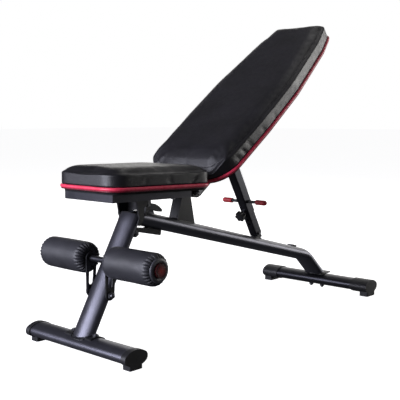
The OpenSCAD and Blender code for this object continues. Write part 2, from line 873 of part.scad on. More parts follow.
// Slotted plates under the backrest for the strut's top pin
module strut_hanger() {
  start = back_bars[0] + back_bar_w / 2;
  end = back_bars[1] - back_bar_w / 2;
  low = hanger_n - 15;
  color(dark_steel) placed() on_back() for (side = [-1, 1]) mirror([side > 0 ? 0 : 1, 0, 0])
    translate([sleeve_size / 2 + 2, 0, 0]) rotate([90, 0, 90]) linear_extrude(hanger_t) difference() {
      square_at(start, low, end - start, board_n - low);
      for (u = [-hanger_slot / 2, hanger_slot / 2])
        translate([hanger_s + u, hanger_n]) circle(d = hanger_slot_w);
      square_at(hanger_s - hanger_slot / 2, hanger_n - hanger_slot_w / 2, hanger_slot, hanger_slot_w);
    }
}

module back_screws() {
  color(bolt_grey) placed() on_back() {
    for (x = [-back_rail_x, back_rail_x], s = back_screw_s)
      translate([x, s, board_n - back_rail - 3]) cylinder(h = 3, d = 12);
    back_screw_shafts();
  }
}

module strut_sleeve() {
  color(steel) placed() on_strut() difference() {
    translate([0, 0, sleeve_low]) linear_extrude(sleeve_high - sleeve_low)
      square_tube_outline(sleeve_size, 1.2, 3.5);
    rod_x(0, grip_s, grip_d, -sleeve_size, sleeve_size);
    rod_x(0, top_pin_s, top_pin_d, -sleeve_size, sleeve_size);
    translate([0, 0, adjust_s]) rotate([90, 0, 0]) cylinder(h = sleeve_size, d = adjust_pin_d + 2 * run);
  }
}

module strut_top_pin() {
  color(bolt_grey) placed() on_strut()
    rod_x(0, top_pin_s, top_pin_d, -sleeve_size / 2 - 9, sleeve_size / 2 + 9);
}

// One rod on each side of the sleeve, clear of the tube inside
module grip_bar() {
  color(dark_steel) placed() on_strut() for (side = [-1, 1]) mirror([side > 0 ? 0 : 1, 0, 0])
    rod_x(0, grip_s, grip_d, sleeve_size / 2 - 0.9, grip_half);
}

module grip_tips() {
  color(grip_red) placed() on_strut() for (side = [-1, 1]) mirror([side > 0 ? 0 : 1, 0, 0]) difference() {
    union() {
      rod_x(0, grip_s, tip_d, grip_half - tip_len, grip_half + 3);
      translate([grip_half + 3, 0, grip_s]) rotate([0, 90, 0]) intersection() {
        sphere(d = tip_d);
        cylinder(h = tip_d, d = tip_d + over);
      }
    }
    rod_x(0, grip_s, grip_d, grip_half - tip_len - over, grip_half);
  }
}

// Threaded bush on the sleeve's front face
module adjust_pin_housing() {
  color(bolt_grey) placed() on_strut() difference() {
    translate([0, -sleeve_size / 2, adjust_s]) rotate([90, 0, 0]) {
      cylinder(h = 13, d = 15);
      cylinder(h = 5, d = 17 / cos(30), $fn = 6);
    }
    translate([0, 0, adjust_s]) rotate([90, 0, 0]) cylinder(h = knob_n, d = adjust_pin_d + 2 * run);
  }
}

module adjust_pin() {
  color(bolt_grey) placed() on_strut() translate([0, -post_size / 2 - gap, adjust_s]) rotate([90, 0, 0])
    cylinder(h = knob_n + knob_bore - post_size / 2 - gap, d = adjust_pin_d);
}

module adjust_knob() {
  lobe_r = 5;
  color(black_plastic) placed() on_strut()
    translate([0, -knob_n, adjust_s]) rotate([90, 0, 0]) difference() {
      union() {
        cylinder(h = 16, d = 24);
        for (turn = [0 : 60 : 300]) rotate(turn) translate([11, 0, 1]) cylinder(h = 14, r = lobe_r);
      }
      translate([0, 0, -over]) cylinder(h = knob_bore + over, d = adjust_pin_d);
    }
}

// Shafts of the seat's screws, which start a little below the rails
module seat_screw_shafts(below = 0) {
  for (at = seat_screw_at) translate([at[0], at[1], seat_rail_z - below])
    cylinder(h = below + seat_rail + screw_in, d = screw_d);
}

module seat_frame() {
  inner = seat_rail - 4;
  lug_x = pivot_sleeve_half + 0.5;
  color(dark_steel) placed() on_seat() difference() {
    union() {
      for (x = [-seat_rail_x, seat_rail_x])
        translate([x - seat_rail / 2, seat_bar_front, seat_rail_z])
          cube([seat_rail, seat_frame_rear - seat_bar_front, seat_rail]);
      for (bar = [[seat_bar_front, seat_rail], [seat_bar_mid, 36], [seat_frame_rear - seat_rail, seat_rail]])
        translate([-seat_rail_x, bar[0], seat_rail_z]) cube([2 * seat_rail_x, bar[1], seat_rail]);
      // hinge lugs
      for (x = [-lug_x - seat_lug_t, lug_x]) {
        rod_x(pivot_y, pivot_z, 24, x, x + seat_lug_t);
        plate_yz(x, seat_lug_t) polygon([
          [seat_frame_rear - 2, seat_rail_z], [seat_frame_rear - 2, seat_board_z - 1],
          [pivot_y, pivot_z + 6], [pivot_y, pivot_z - 12]
        ]);
      }
    }
    for (x = [-seat_rail_x, seat_rail_x])
      translate([x - inner / 2, seat_bar_front + 2, seat_rail_z + 2])
        cube([inner, seat_frame_rear - seat_bar_front - 4, inner]);
    for (bar = [[seat_bar_front, seat_rail], [seat_bar_mid, 36], [seat_frame_rear - seat_rail, seat_rail]])
      translate([-seat_rail_x, bar[0] + 2, seat_rail_z + 2]) cube([2 * seat_rail_x, bar[1] - 4, inner]);
    rod_x(pivot_y, pivot_z, main_axle_d + 2 * run, -seat_frame_w, seat_frame_w);
    seat_screw_shafts(over);
  }
}

// Seat outline, drawn in by inset all round
module seat_outline(inset) {
  front_r = 45;
  rear_r = 30;
  hull() for (side = [-1, 1]) {
    translate([side * (seat_front_w / 2 - front_r), seat_front + front_r])
      circle(front_r - inset, $fn = soft_fn);
    translate([side * (seat_rear_w / 2 - rear_r), seat_rear - rear_r])
      circle(rear_r - inset, $fn = soft_fn);
  }
}

module seat_board() {
  color(board_black) placed() on_seat() difference() {
    translate([0, 0, seat_board_z]) linear_extrude(board_h) seat_outline(8);
    seat_screw_shafts();
  }
}

module seat_pad() {
  // height above the board and inset all round of each level
  levels = [[0, 3], [8, 3], [14, 0], [34, 0], [41, 4], [seat_pad_h - 0.5, 14]];
  color(black_leather) placed() on_seat() difference() {
    hull() for (level = levels)
      translate([0, 0, seat_pad_z + level[0]]) linear_extrude(0.5) seat_outline(level[1]);
    translate([0, 0, seat_pad_z - welt_down]) welt_band(run) {
      seat_outline(-welt_out - run);
      seat_outline(welt_in + run);
    }
  }
}

// Welt sewn round the pad's lower edge
module seat_piping() {
  color(grip_red) placed() on_seat() translate([0, 0, seat_pad_z - welt_down]) welt_band() {
    seat_outline(-welt_out);
    seat_outline(welt_in);
  }
}

// Toothed arc that the seat lever locks
module seat_sector() {
  rim = 22;
  low = seat_rail_z + 2;
  color(bolt_grey) placed() on_seat() difference() {
    union() {
      translate([-sector_t / 2, pivot_y, pivot_z]) rotate([90, 0, 90]) rotate([0, 0, 180])
        rotate_extrude(angle = sector_low, $fn = 180)
        translate([sector_r - rim, 0]) square([rim, sector_t]);
      plate_yz(-sector_t / 2, sector_t) square_at(186, low, 50, 16);
      translate([-12, 186, low]) cube([24, 4, 16]);
    }
    for (turn = [16, 20, 24])
      translate([0, pivot_y, pivot_z]) rotate([turn, 0, 0]) translate([0, -sector_r, 0])
        rotate([0, 90, 0]) cylinder(h = 20, d = 7, center = true);
  }
}

module seat_screws() {
  color(bolt_grey) placed() on_seat() {
    for (at = seat_screw_at) translate([at[0], at[1], seat_rail_z - 3]) cylinder(h = 3, d = 12);
    seat_screw_shafts();
  }
}

// Release lever for the seat: a plate beside the sector with a cross stud
module seat_lever() {
  lever_x = 6;
  lever_t = 8;
  // y, z and radius of each knuckle along the fin
  fin = [[lever_y, lever_z - 4, 10], [214, 351, 10], [237, 347.5, 9], [250, 342, 7.5], [261, 337, 4]];
  color(dark_steel) placed() difference() {
    union() {
      plate_yz(lever_x, lever_t) for (k = [0 : len(fin) - 2]) hull() for (at = [fin[k], fin[k + 1]])
        translate([at[0], at[1]]) circle(at[2], $fn = soft_fn);
      rod_x(stud_y, stud_z, 6.4, -4, lever_x + over);
    }
    rod_x(lever_y, lever_z, lever_pin_d + 2 * run, -20, 20);
  }
}

// Outer shape of the return spring on the lever's pin
module lever_spring() {
  color(bolt_grey) placed() difference() {
    rod_x(lever_y, lever_z, 12, spring_x, spring_x + spring_len);
    rod_x(lever_y, lever_z, lever_pin_d + 1, spring_x - over, spring_x + spring_len + over);
  }
}

main_beam();
hinge_cheeks();
fold_lug();
rear_flange();
rear_foot_tube();
rear_foot_caps();
rear_foot_bolts();
pivot_post();
pivot_sleeve();
main_axle();
axle_nuts();
strut_foot_bracket();
strut_foot_bolt();
strut_inner_tube();
beam_hook();
lever_pin();
fold_bolt();
fold_pin_housing();
front_leg();
leg_top_cap();
fold_ears();
front_saddle();
front_foot_tube();
front_foot_caps();
front_foot_bolts();
roller_arms();
arm_bolt();
roller_axle();
axle_washers();
foam_roller_left();
roller_core_left();
roller_cap_left();
foam_roller_right();
roller_core_right();
roller_cap_right();
back_rails();
back_crossbars();
back_board();
back_pad();
back_piping();
strut_hanger();
back_screws();
strut_sleeve();
strut_top_pin();
grip_bar();
grip_tips();
adjust_pin_housing();
adjust_pin();
adjust_knob();
seat_frame();
seat_board();
seat_pad();
seat_piping();
seat_sector();
seat_screws();
seat_lever();
lever_spring();
fold_pin();
fold_knob();
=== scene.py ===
"""Looks of an adjustable weight bench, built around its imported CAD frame. Everything is in metres."""
import json
import math

import bpy
import numpy as np
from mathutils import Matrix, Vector
from mathutils.bvhtree import BVHTree
from mathutils.kdtree import KDTree


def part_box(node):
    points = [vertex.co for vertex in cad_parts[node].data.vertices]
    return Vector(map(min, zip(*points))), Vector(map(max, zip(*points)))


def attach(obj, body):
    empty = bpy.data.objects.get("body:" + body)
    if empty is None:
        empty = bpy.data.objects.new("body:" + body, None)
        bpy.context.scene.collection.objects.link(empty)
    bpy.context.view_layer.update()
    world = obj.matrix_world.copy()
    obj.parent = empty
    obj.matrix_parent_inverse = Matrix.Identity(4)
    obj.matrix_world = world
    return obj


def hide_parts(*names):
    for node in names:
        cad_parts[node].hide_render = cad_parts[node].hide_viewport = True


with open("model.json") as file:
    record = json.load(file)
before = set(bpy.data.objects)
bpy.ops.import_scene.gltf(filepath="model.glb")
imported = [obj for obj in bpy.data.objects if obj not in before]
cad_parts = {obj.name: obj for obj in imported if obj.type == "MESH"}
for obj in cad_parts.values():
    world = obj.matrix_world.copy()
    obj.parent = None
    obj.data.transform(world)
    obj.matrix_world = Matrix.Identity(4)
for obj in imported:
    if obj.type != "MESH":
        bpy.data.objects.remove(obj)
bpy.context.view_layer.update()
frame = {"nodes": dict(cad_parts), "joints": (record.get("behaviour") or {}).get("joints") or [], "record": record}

nodes = frame["nodes"]
joints = {joint["name"]: joint for joint in frame["joints"]}
scene = bpy.context.scene
mm = 0.001


# ---------------------------------------------------------------- meshes

def new_piece(name, points, faces, material, body):
    """A smooth-shaded mesh object that rides on a body and takes its finish from a slot."""
    mesh = bpy.data.meshes.new(name)
    mesh.from_pydata([tuple(p) for p in points], [], faces)
    mesh.validate()
    mesh.update()
    piece = bpy.data.objects.new(name, mesh)
    scene.collection.objects.link(piece)
    mesh.materials.append(material)
    mesh.polygons.foreach_set("use_smooth", [True] * len(mesh.polygons))
    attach(piece, body)
    return piece


def points_of(mesh):
    flat = np.empty(len(mesh.vertices) * 3, np.float32)
    mesh.vertices.foreach_get("co", flat)
    return flat.reshape(-1, 3).astype(float)


def normals_of(mesh):
    flat = np.empty(len(mesh.vertices) * 3, np.float32)
    mesh.vertices.foreach_get("normal", flat)
    return flat.reshape(-1, 3).astype(float)


def set_points(mesh, points):
    mesh.vertices.foreach_set("co", points.astype(np.float32).ravel())
    mesh.update()


def sweep(path, section, closed=True):
    """Points and faces of a section swept along a path of (place, out direction, up direction).
    section(i, n) gives the offsets (out, up) of ring i of n."""
    points, faces = [], []
    rings = len(path)
    for i, (place, out, up) in enumerate(path):
        ring = section(i, rings)
        sides = len(ring)
        points += [place + out * a + up * b for a, b in ring]
    last = rings if closed else rings - 1
    for i in range(last):
        j = (i + 1) % rings
        for k in range(sides):
            m = (k + 1) % sides
            faces.append((i * sides + k, i * sides + m, j * sides + m, j * sides + k))
    if not closed:
        faces.append(tuple(range(sides))[::-1])
        faces.append(tuple((rings - 1) * sides + k for k in range(sides)))
    return points, faces


def circle_section(radius, sides=12):
    turn = [2 * math.pi * k / sides for k in range(sides)]
    return [(radius * math.cos(t), radius * math.sin(t)) for t in turn]


def revolve(name, centre, axis_x, profile, material, body, sides=96, ripple=None):
    """A closed profile of (x, radius) turned about the X axis through centre.
    ripple(x, radius, angle) gives a point's new x and radius."""
    points, faces = [], []
    for k in range(sides):
        angle = 2 * math.pi * k / sides
        for x, radius in profile:
            if ripple:
                x, radius = ripple(x, radius, angle)
            spoke = Vector((axis_x * x, radius * math.cos(angle), radius * math.sin(angle)))
            points.append(centre + spoke)
    count = len(profile)
    for k in range(sides):
        n = (k + 1) % sides
        for i in range(count):
            j = (i + 1) % count
            face = (k * count + i, k * count + j, n * count + j, n * count + i)
            faces.append(face if axis_x > 0 else face[::-1])
    return new_piece(name, points, faces, material, body)


def arc(x, y, radius, start, end, steps):
    angles = np.radians(np.linspace(start, end, steps))
    return [(x + radius * math.cos(a), y + radius * math.sin(a)) for a in angles]


# ---------------------------------------------------------------- materials

class Look:
    """A material and short ways to add shader nodes to it."""

    def __init__(self, name):
        self.material = bpy.data.materials.new(name)
        self.material.use_nodes = True
        self.tree = self.material.node_tree
        self.shader = self.tree.nodes["Principled BSDF"]
        self.place = self.node("ShaderNodeTexCoord").outputs["Object"]

    def node(self, kind, settings=None, **inputs):
        made = self.tree.nodes.new(kind)
        for key, value in (settings or {}).items():
            setattr(made, key, value)
        for key, value in inputs.items():
            socket = made.inputs[key.replace("_", " ")]
            if isinstance(value, bpy.types.NodeSocket):
                self.tree.links.new(value, socket)
            else:
                socket.default_value = value
        return made

    def noise(self, scale, detail=4.0, roughness=0.55, place=None):
        made = self.node("ShaderNodeTexNoise", Scale=scale, Detail=detail, Roughness=roughness)
        self.tree.links.new(place or self.place, made.inputs["Vector"])
        return made.outputs["Fac"]

    def cells(self, scale, feature="DISTANCE_TO_EDGE", place=None):
        made = self.node("ShaderNodeTexVoronoi", {"feature": feature}, Scale=scale)
        self.tree.links.new(place or self.place, made.inputs["Vector"])
        return made.outputs["Distance"]

    def stretched(self, x, y, z):
        """The object's own coordinates, scaled per axis."""
        made = self.node("ShaderNodeMapping", Vector=self.place)
        made.inputs["Scale"].default_value = (x, y, z)
        return made.outputs["Vector"]

    def spread(self, value, low, high, new_low, new_high):
        made = self.node("ShaderNodeMapRange", Value=value)
        ends = {"From Min": low, "From Max": high, "To Min": new_low, "To Max": new_high}
        for key, number in ends.items():
            made.inputs[key].default_value = number
        return made.outputs["Result"]

    def blend(self, value, dark, light):
        """Colour between two tones."""
        made = self.node("ShaderNodeValToRGB", Fac=value)
        made.color_ramp.elements[0].color = (*dark, 1)
        made.color_ramp.elements[1].color = (*light, 1)
        return made.outputs["Color"]

    def mix(self, factor, a, b, kind="MIX"):
        made = self.node("ShaderNodeMix", {"data_type": "RGBA", "blend_type": kind})
        for socket, value in zip((made.inputs[0], made.inputs[6], made.inputs[7]), (factor, a, b)):
            if isinstance(value, bpy.types.NodeSocket):
                self.tree.links.new(value, socket)
            else:
                socket.default_value = (*value, 1) if isinstance(value, tuple) else value
        return made.outputs[2]

    def math(self, kind, a, b=0.0):
        made = self.node("ShaderNodeMath", {"operation": kind})
        for socket, value in zip(made.inputs, (a, b)):
            if isinstance(value, bpy.types.NodeSocket):
                self.tree.links.new(value, socket)
            else:
                socket.default_value = value
        return made.outputs[0]

    def bump(self, height, strength, distance, under=None):
        made = self.node("ShaderNodeBump", Height=height, Strength=strength, Distance=distance)
        if under:
            self.tree.links.new(under, made.inputs["Normal"])
        return made.outputs["Normal"]

    def finish(self, **inputs):
        for key, value in inputs.items():
            socket = self.shader.inputs[key.replace("_", " ")]
            if isinstance(value, bpy.types.NodeSocket):
                self.tree.links.new(value, socket)
            else:
                socket.default_value = value
        return self.material


def powder_coat(name, dark, light, metallic, low, high):
    """Baked paint: fine orange peel, small metal flecks and slow changes of gloss."""
    look = Look(name)
    tone = look.spread(look.noise(9, 3), 0.3, 0.7, 0, 1)
    flecks = look.spread(look.noise(900, 2), 0.55, 0.75, 0, 0.55)
    colour = look.mix(flecks, look.blend(tone, dark, light), tuple(1.9 * c for c in light))
    rough = look.spread(look.noise(35, 5), 0.3, 0.7, low, high)
    peel = look.bump(look.noise(420, 2), 0.12, 0.3 * mm)
    return look.finish(Base_Color=colour, Metallic=metallic, Roughness=rough, Normal=peel,
                       Specular_IOR_Level=0.45)


def leather(name, dark, light, low, high, sheen=0.0, grain=520):
    """Coated upholstery leather with a pebbled grain."""
    look = Look(name)
    tone = look.spread(look.noise(14, 4), 0.35, 0.65, 0, 1)
    pebbles = look.spread(look.cells(grain), 0.0, 0.12, 0, 1)
    pores = look.noise(1500, 2)
    # the valleys between the pebbles are darkened: painted shade in the grain's hollows
    shade = look.spread(pebbles, 0, 1, 0.35, 0.0)
    shaded_valleys = look.mix(shade, look.blend(tone, dark, light), tuple(0.4 * c for c in dark))
    rough = look.spread(look.noise(60, 5), 0.3, 0.7, low, high)
    grain_bump = look.bump(pebbles, 0.22, 0.25 * mm)
    normal = look.bump(pores, 0.08, 0.15 * mm, look.bump(look.noise(45, 3), 0.10, 1.2 * mm, grain_bump))
    return look.finish(Base_Color=shaded_valleys, Roughness=rough, Normal=normal, Specular_IOR_Level=0.5,
                       Sheen_Weight=sheen, Sheen_Roughness=0.5)


def moulded(name, dark, light, low, high, grain=700):
    """Moulded plastic with a fine spark-eroded texture."""
    look = Look(name)
    tone = look.spread(look.noise(25, 3), 0.35, 0.65, 0, 1)
    rough = look.spread(look.noise(80, 4), 0.3, 0.7, low, high)
    return look.finish(Base_Color=look.blend(tone, dark, light), Roughness=rough, Specular_IOR_Level=0.4,
                       Normal=look.bump(look.noise(grain, 3), 0.18, 0.2 * mm))


def machined_steel(name, dark, light, low, high):
    """Turned and drawn steel with fine lines round the X axis."""
    look = Look(name)
    lines = look.noise(1, 3, 0.6, look.stretched(2600, 90, 90))
    tone = look.spread(look.noise(40, 4), 0.35, 0.65, 0, 1)
    rough = look.spread(lines, 0.3, 0.7, low, high)
    return look.finish(Base_Color=look.blend(tone, dark, light), Metallic=0.9, Roughness=rough,
                       Normal=look.bump(lines, 0.15, 0.1 * mm))


def ribbed_rubber(name, dark, light):
    look = Look(name)
    rings = look.node("ShaderNodeTexWave", {"bands_direction": "X"}, Scale=95.0, Distortion=0.0,
                      Vector=look.place).outputs["Fac"]
    tone = look.spread(look.noise(60, 3), 0.35, 0.65, 0, 1)
    # the grooves between the ribs are darkened toward the dark tone: painted shade
    colour = look.mix(look.spread(rings, 0, 1, 0.35, 0), look.blend(tone, dark, light), dark)
    return look.finish(Base_Color=colour, Roughness=look.spread(look.noise(200, 3), 0.3, 0.7, 0.42, 0.6),
                       Normal=look.bump(rings, 0.35, 0.4 * mm))


def backing_cloth(name):
    """Black spun cloth stapled over the pads' boards."""
    look = Look(name)
    weave = look.noise(1, 3, 0.7, look.stretched(1400, 700, 700))
    tone = look.spread(look.noise(50, 4), 0.35, 0.65, 0, 1)
    colour = look.blend(tone, (0.008, 0.008, 0.009), (0.014, 0.014, 0.015))
    return look.finish(Base_Color=colour, Roughness=0.85, Specular_IOR_Level=0.2,
                       Normal=look.bump(weave, 0.4, 0.2 * mm))


def welt_cover(name, dark, light):
    """Crimson piping leather, stretched smooth over its cord."""
    look = Look(name)
    tone = look.spread(look.noise(90, 4), 0.35, 0.65, 0, 1)
    return look.finish(Base_Color=look.blend(tone, dark, light), Specular_IOR_Level=0.5,
                       Roughness=look.spread(look.noise(220, 3), 0.3, 0.7, 0.32, 0.46),
                       Normal=look.bump(look.cells(900), 0.2, 0.15 * mm))


def disc_plastic(name, centre):
    """Dark red moulded disc, lighter towards its middle, with fine turned rings."""
    look = Look(name)
    shifted = look.node("ShaderNodeVectorMath", {"operation": "SUBTRACT"})
    look.tree.links.new(look.place, shifted.inputs[0])
    shifted.inputs[1].default_value = centre
    flat = look.node("ShaderNodeVectorMath", {"operation": "MULTIPLY"})
    look.tree.links.new(shifted.outputs[0], flat.inputs[0])
    flat.inputs[1].default_value = (0, 1, 1)
    length = look.node("ShaderNodeVectorMath", {"operation": "LENGTH"})
    look.tree.links.new(flat.outputs[0], length.inputs[0])
    far = length.outputs["Value"]
    tone = look.spread(far, 3 * mm, 15 * mm, 1, 0)
    rings = look.math("SINE", look.math("MULTIPLY", far, 2 * math.pi / (1.4 * mm)))
    return look.finish(Base_Color=look.blend(tone, (0.045, 0.006, 0.007), (0.30, 0.025, 0.022)),
                       Roughness=look.spread(look.noise(300, 3), 0.3, 0.7, 0.22, 0.36),
                       Normal=look.bump(rings, 0.3, 0.12 * mm))


TUBE = powder_coat("graphite_tube", (0.088, 0.088, 0.104), (0.108, 0.108, 0.128), 0.85, 0.34, 0.42)
# the same tube paint made darker: painted shade on the painted tubes other than the leg, the front foot and the
# beam
SHADED_TUBE = powder_coat("graphite_painted_shade", (0.036, 0.036, 0.042), (0.046, 0.046, 0.054), 0.85, 0.32, 0.40)
BRACKET = powder_coat("black_bracket", (0.012, 0.012, 0.013), (0.018, 0.018, 0.020), 0.2, 0.34, 0.46)
BOLT = machined_steel("bolt_steel", (0.10, 0.10, 0.11), (0.17, 0.17, 0.18), 0.28, 0.42)
PLASTIC = moulded("black_plastic", (0.012, 0.012, 0.013), (0.020, 0.020, 0.022), 0.42, 0.55)
PAD = leather("pad_leather", (0.010, 0.0095, 0.011), (0.016, 0.015, 0.018), 0.34, 0.46)
ROLLER = leather("roller_leather", (0.022, 0.022, 0.026), (0.034, 0.034, 0.040), 0.42, 0.54, grain=650)
RING = leather("ring_leather", (0.044, 0.044, 0.052), (0.064, 0.064, 0.074), 0.36, 0.46, grain=650)
PIPING = welt_cover("crimson_piping", (0.72, 0.036, 0.085), (0.88, 0.060, 0.130))
# a darker copy of the crimson piping leather: painted shade for the row tucked under the piping
SHADED_WELT = welt_cover("crimson_edge_painted_shade", (0.12, 0.006, 0.014), (0.18, 0.010, 0.022))
GRIP = ribbed_rubber("red_grip", (0.34, 0.016, 0.022), (0.55, 0.030, 0.040))
BOARD = backing_cloth("backing_cloth")
# both rollers turn about one line along X, so one centre serves both discs
DISC = disc_plastic("dark_red_disc", Vector(joints["roller_right_spin"]["pos_m"]))
SLOT_LOOKS = {
    "tube_paint": TUBE, "bracket_paint": BRACKET, "bolt_steel": BOLT, "black_plastic": PLASTIC,
    "cap_plastic": DISC, "grip_rubber": GRIP, "pad_leather": PAD, "roller_leather": ROLLER,
    "board_cloth": BOARD, "piping": PIPING,
}
# tubes that keep the plain tube paint; the other painted tubes get the darker copy as painted shade
LIT_TUBES = ("front_leg", "front_foot_tube", "main_beam")


def dress_cad_nodes():
    """Gives each CAD node its slot's material; painted tubes other than the leg, the front foot and the beam get a
    darker copy of the tube paint, as painted shade.
    """
    for part in frame["record"]["subparts"]:
        node = nodes[part["node"]]
        node.data.materials.clear()
        # painted tubes left out of the tuple get the darker copy of the paint: painted shade
        dark = part["material_slot"] == "tube_paint" and part["node"] not in LIT_TUBES
        node.data.materials.append(SHADED_TUBE if dark else SLOT_LOOKS[part["material_slot"]])


# ---------------------------------------------------------------- pads

def plate_axes(board):
    """Columns across, along and out of a flat board, from the direction its largest faces look."""
    sums = {}
    for face in nodes[board].data.polygons:
        key = tuple(round(c, 2) for c in face.normal)
        sums[key] = sums.get(key, Vector()) + face.normal * face.area
    out = max((v for v in sums.values() if v.z > 0), key=lambda v: v.length).normalized()
    across = Vector((1, 0, 0))
    return np.array([across, out.cross(across), out]).T


def hull_outline(flat_points, step=5 * mm, inset=0.0):
    """Even, smoothed points round the convex outline of flat points, and the way out at each."""
    ordered = sorted(set((round(x, 6), round(y, 6)) for x, y in flat_points))

    def half(line):
        kept = []
        for p in line:
            while len(kept) > 1 and ((kept[-1][0] - kept[-2][0]) * (p[1] - kept[-2][1])
                                     - (kept[-1][1] - kept[-2][1]) * (p[0] - kept[-2][0])) <= 0:
                kept.pop()
            kept.append(p)
        return kept[:-1]

    loop = np.array(half(ordered) + half(ordered[::-1]))
    sides = np.linalg.norm(np.roll(loop, -1, 0) - loop, axis=1)
    along = np.concatenate([[0], np.cumsum(sides)])
    count = int(along[-1] / step)
    at = np.linspace(0, along[-1], count, endpoint=False)
    shut = np.vstack([loop, loop[:1]])
    even = np.stack([np.interp(at, along, shut[:, k]) for k in (0, 1)], 1)
    for _ in range(4):
        even = (np.roll(even, 1, 0) + 2 * even + np.roll(even, -1, 0)) / 4
    tangent = np.roll(even, -1, 0) - np.roll(even, 1, 0)
    tangent /= np.linalg.norm(tangent, axis=1)[:, None]
    outward = np.stack([tangent[:, 1], -tangent[:, 0]], 1)
    return even - inset * outward, outward


class Cushion:
    """A stuffed pad on a board, with its own axes: across, along and out of the board."""

    def __init__(self, name, pad_node, board_node, piping_node, body, origin):
        self.name, self.pad_node, self.piping_node, self.body = name, pad_node, piping_node, body
        self.axes = plate_axes(board_node)
        self.origin = np.array(origin, float)
        self.base = self.local(points_of(nodes[board_node].data))[:, 2].max()
        band = self.local(points_of(nodes[piping_node].data))
        self.band_low, self.band_high = band[:, 2].min(), band[:, 2].max()
        self.outline, self.outward = hull_outline(band[:, :2])

    def local(self, points):
        return (points - self.origin) @ self.axes

    def world(self, points):
        return points @ self.axes.T + self.origin

    def ring(self, inset, height):
        """Path for sweep() round the pad at an inset and a height."""
        flat = self.outline - inset * self.outward
        path = []
        up = Vector(self.axes[:, 2])
        for (x, y), (a, b) in zip(flat, self.outward):
            at = self.world(np.array([x, y, height]))
            path.append((Vector(at), Vector(self.axes @ np.array([a, b, 0])), up))
        return path

    def blow_up(self, voxel, shrink, cap, pressure, crown):
        """The pad's skin: remeshed, blown up by cloth pressure by no more than cap, and crowned."""
        board_gap = 0.2 * mm
        held_height = 9 * mm
        frames = 20
        crown_from, crown_over, crown_reach = 30 * mm, 14 * mm, 50 * mm
        mesh = nodes[self.pad_node].data.copy()
        skin = bpy.data.objects.new(self.name, mesh)
        scene.collection.objects.link(skin)
        weld = skin.modifiers.new("weld", "WELD")
        weld.merge_threshold = 0.05 * mm
        remesh = skin.modifiers.new("remesh", "REMESH")
        remesh.mode = "VOXEL"
        remesh.voxel_size = voxel
        smooth = skin.modifiers.new("smooth", "SMOOTH")
        smooth.iterations = 2
        self.apply(skin)
        start = points_of(skin.data) - shrink * normals_of(skin.data)
        flat = self.local(start)
        flat[:, 2] = np.maximum(flat[:, 2], self.base + board_gap)
        start = self.world(flat)
        set_points(skin.data, start)
        held = skin.vertex_groups.new(name="held")
        low_points = np.nonzero(flat[:, 2] < self.base + held_height)[0]
        held.add([int(i) for i in low_points], 1.0, "REPLACE")
        cloth = skin.modifiers.new("cloth", "CLOTH")
        cloth.settings.quality = 4
        cloth.settings.mass = 0.4
        cloth.settings.tension_stiffness = 12
        cloth.settings.compression_stiffness = 12
        cloth.settings.shear_stiffness = 6
        cloth.settings.bending_stiffness = 2.0
        cloth.settings.use_pressure = True
        cloth.settings.uniform_pressure_force = pressure
        cloth.settings.effector_weights.gravity = 0
        cloth.settings.vertex_group_mass = "held"
        cloth.point_cache.frame_start = 1
        cloth.point_cache.frame_end = frames
        for step in range(1, frames + 1):
            scene.frame_set(step)
        self.apply(skin)
        scene.frame_set(1)
        moved = points_of(skin.data) - start
        length = np.linalg.norm(moved, axis=1)
        moved *= (cap * np.tanh(length / cap) / np.maximum(length, 1e-9))[:, None]
        flat = self.local(start + moved)
        rise = np.clip((flat[:, 2] - self.base - crown_from) / crown_over, 0, 1)
        depth = np.clip(self.nearest(flat)[1] / crown_reach, 0, 1)
        crowned = flat[:, 2] + crown * rise * np.sin(depth * math.pi / 2)
        flat[:, 2] = np.maximum(crowned, self.base + board_gap)
        set_points(skin.data, self.world(flat))
        relax = skin.modifiers.new("relax", "SMOOTH")
        relax.iterations = 5
        divide = skin.modifiers.new("divide", "SUBSURF")
        divide.levels = 1
        self.apply(skin)
        skin.vertex_groups.clear()
        return skin

    def apply(self, skin):
        """Turns the object's modifiers into its mesh."""
        graph = bpy.context.evaluated_depsgraph_get()
        graph.update()
        made = bpy.data.meshes.new_from_object(skin.evaluated_get(graph))
        skin.modifiers.clear()
        skin.data = made

    def nearest(self, flat):
        """The outline point nearest to each flat place, and the place's depth inside the outline."""
        tree = KDTree(len(self.outline))
        for i, (x, y) in enumerate(self.outline):
            tree.insert((x, y, 0), i)
        tree.balance()
        near = np.array([tree.find((x, y, 0))[1] for x, y, _ in flat])
        return near, np.einsum("ij,ij->i", self.outline[near] - flat[:, :2], self.outward[near])

    def square_wall(self, skin, inset, height):
        """Brings the wall, from just above the board up to a height, to an even inset."""
        wall_low, wall_deep = 6 * mm, 14 * mm
        flat = self.local(points_of(skin.data))
        near, deep = self.nearest(flat)
        rise = flat[:, 2] - self.base
        share = np.clip((rise - wall_low) / (3 * mm), 0, 1) * np.clip((height - rise) / (6 * mm), 0, 1)
        share *= np.clip((wall_deep - deep) / (4 * mm), 0, 1)
        flat[:, :2] += self.outward[near] * ((deep - inset) * share)[:, None]
        set_points(skin.data, self.world(flat))

    def pucker(self, skin, folds):
        """Presses short slanting folds into the side above the piping.
        Each fold is (place round the outline, height, half width, half height, slant, depth)."""
        reach = 22 * mm
        flat = self.local(points_of(skin.data))
        along = self.run()
        length = along[-1]
        near, deep = self.nearest(flat)
        round_at = along[near]
        side = np.clip(1 - np.abs(deep) / reach, 0, 1)
        press = np.zeros(len(flat))
        for at, height, half_width, half_height, slant, depth in folds:
            rise = flat[:, 2] - self.band_high - height
            away = (round_at - at - slant * rise + length / 2) % length - length / 2
            press += depth * np.exp(-(away / half_width) ** 2 - (rise / half_height) ** 2)
        inward = -self.outward[near]
        flat[:, :2] += inward * (press * side)[:, None]
        set_points(skin.data, self.world(flat))

